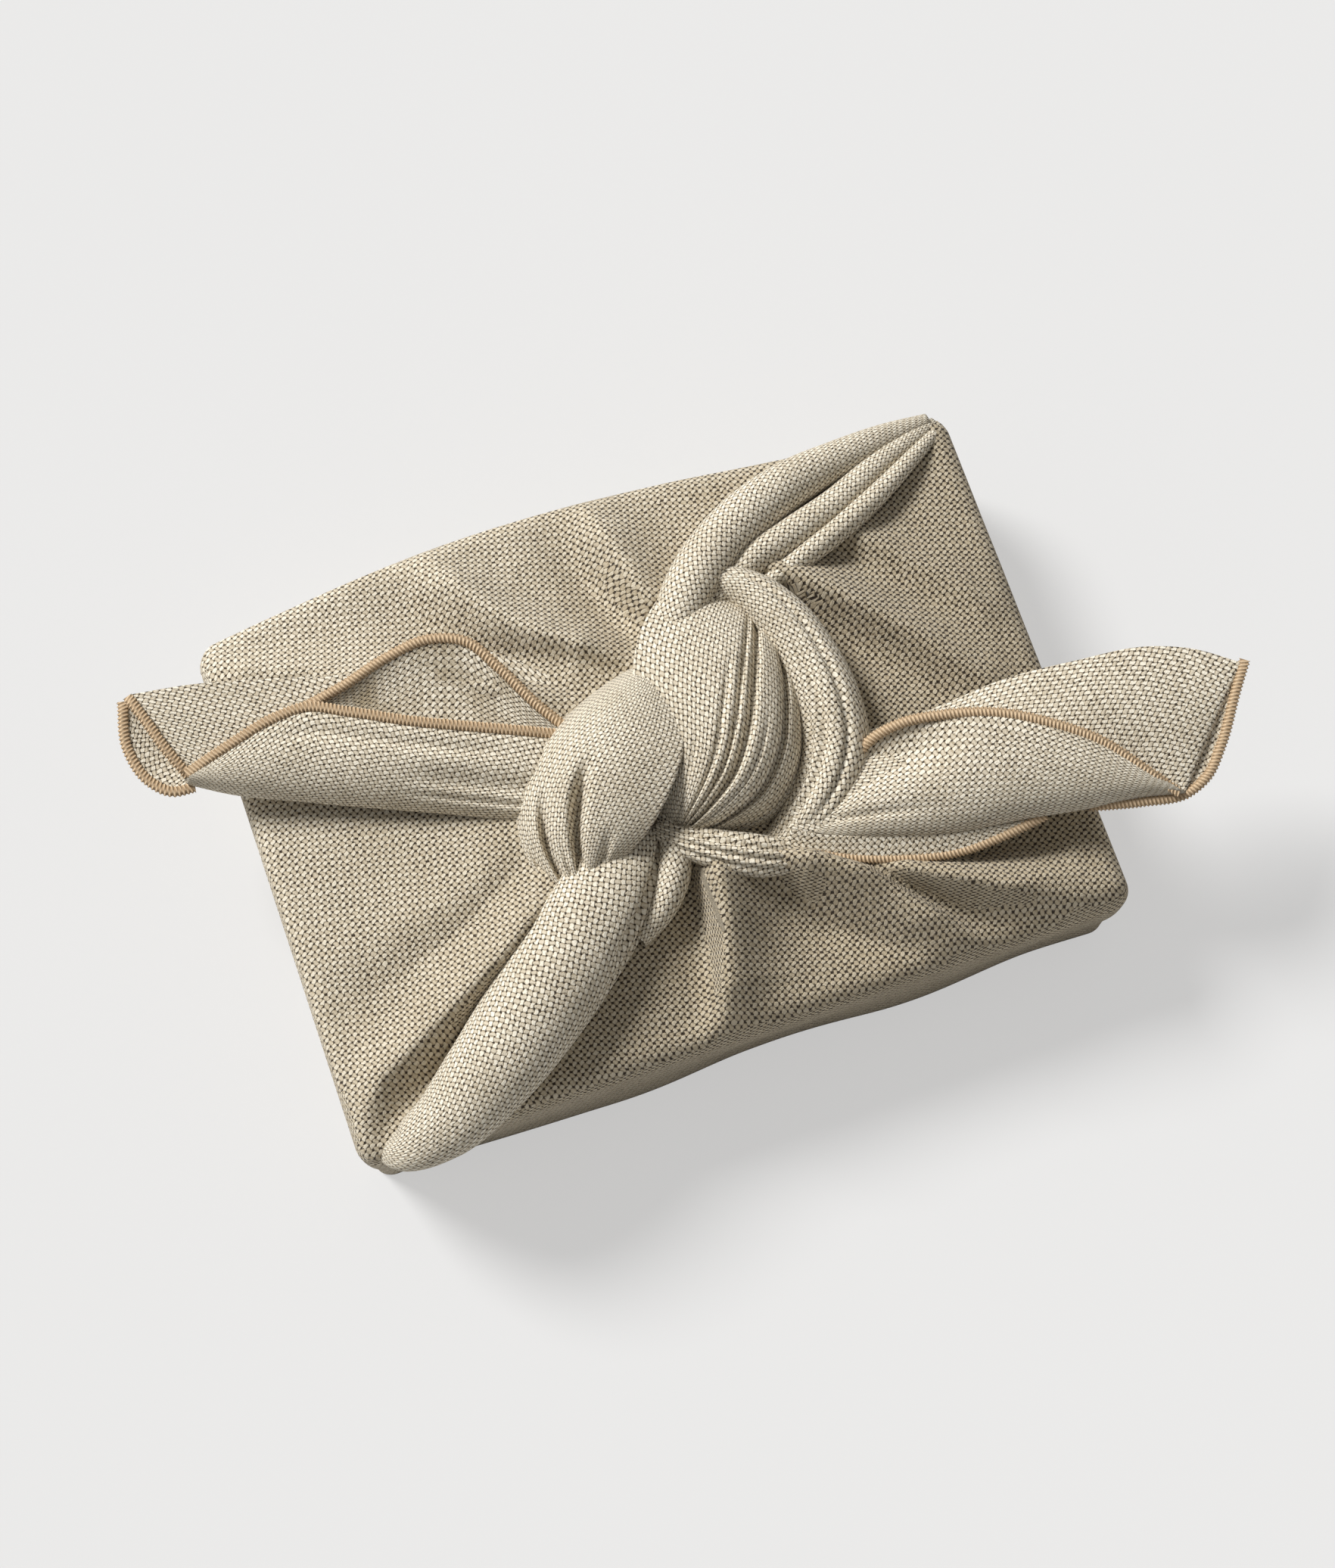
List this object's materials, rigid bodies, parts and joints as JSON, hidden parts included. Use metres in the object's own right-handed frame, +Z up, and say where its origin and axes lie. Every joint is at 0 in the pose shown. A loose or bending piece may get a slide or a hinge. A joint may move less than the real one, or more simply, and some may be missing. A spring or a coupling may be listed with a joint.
{
  "type": "cloth-wrapped gift box",
  "caption": "Rectangular gift box wrapped in a natural woven cloth, knotted on top, with two loose tails that lift.",
  "frame": {"origin": "middle of the wrapped box's underside, on the surface that it stands on", "axes": "+X along the box's long side, +Y to its back, +Z up"},
  "size_m": [0.3275, 0.1794, 0.0909],
  "materials": {
    "cloth": "open basket weave of unbleached thread, matte",
    "hem_thread": "tan overlock stitching, matte",
    "paperboard": "plain paperboard, matte"
  },
  "bodies": {
    "bundle": {"gift_box_tray": "paperboard", "gift_box_lid": "paperboard", "wrap_cloth": "cloth", "back_slack_fold": "cloth", "front_flap": "cloth", "back_flap": "cloth", "left_roll": "cloth", "right_roll_outer": "cloth", "right_roll_inner": "cloth", "knot_left_loop": "cloth", "knot_right_loop": "cloth", "knot_rim_roll": "cloth"},
    "left_tail_body": {"left_tail": "cloth", "left_tail_hem": "hem_thread"},
    "right_tail_body": {"right_tail": "cloth", "right_tail_hem": "hem_thread"}
  },
  "joints": [
    {"name": "left_tail_lift", "type": "hinge", "parent": "bundle", "child": "left_tail_body", "pos_m": [-0.04655, 0.02312, 0.0567], "axis": [0.342, 0.9397, 0], "range_deg": [0, 65]},
    {"name": "right_tail_lift", "type": "hinge", "parent": "bundle", "child": "right_tail_body", "pos_m": [0.06211, -0.01939, 0.0649], "axis": [-0.1564, -0.9877, 0], "range_deg": [0, 65]}
  ]
}
